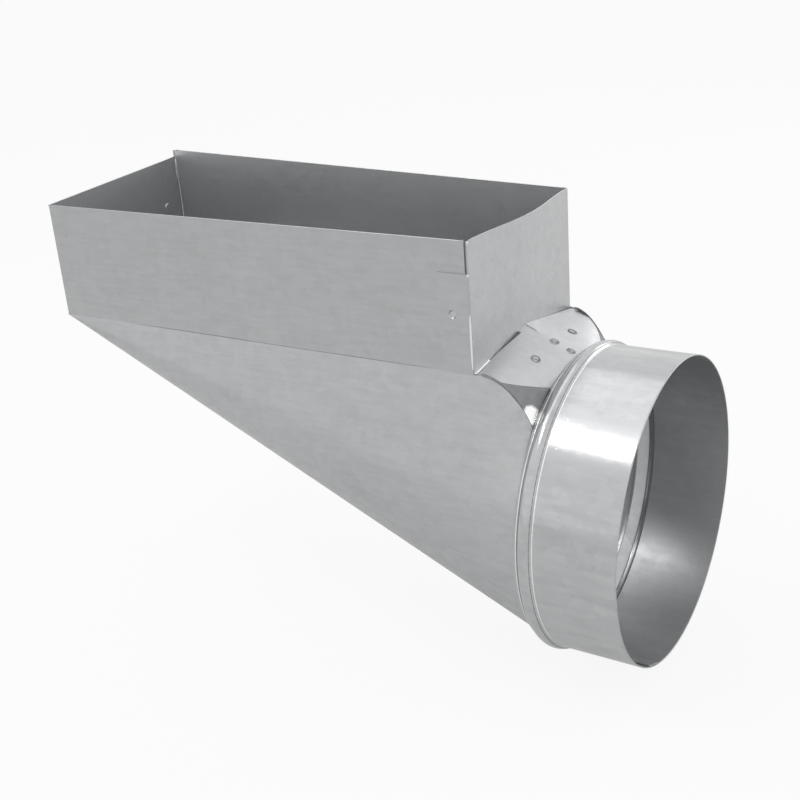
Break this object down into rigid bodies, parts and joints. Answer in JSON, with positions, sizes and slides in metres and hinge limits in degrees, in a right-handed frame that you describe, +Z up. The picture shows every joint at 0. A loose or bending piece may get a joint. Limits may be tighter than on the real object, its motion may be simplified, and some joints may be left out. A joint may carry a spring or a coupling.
{
  "type": "register end boot",
  "caption": "Open rectangular sheet-metal register box whose sloping bottom tapers into a round collar at one end.",
  "frame": {"origin": "centre of the round collar's open end", "axes": "+X along the collar's axis, out of its open end; +Z up, towards the open register mouth; +Y towards the higher back wall"},
  "size_m": [0.3418, 0.1556, 0.2284],
  "materials": {
    "galvanised_sheet": "satin",
    "galvanised_collar": "satin"
  },
  "bodies": {
    "root": {"front_shell": "galvanised_sheet", "back_shell": "galvanised_sheet", "round_collar": "galvanised_collar"}
  },
  "joints": []
}
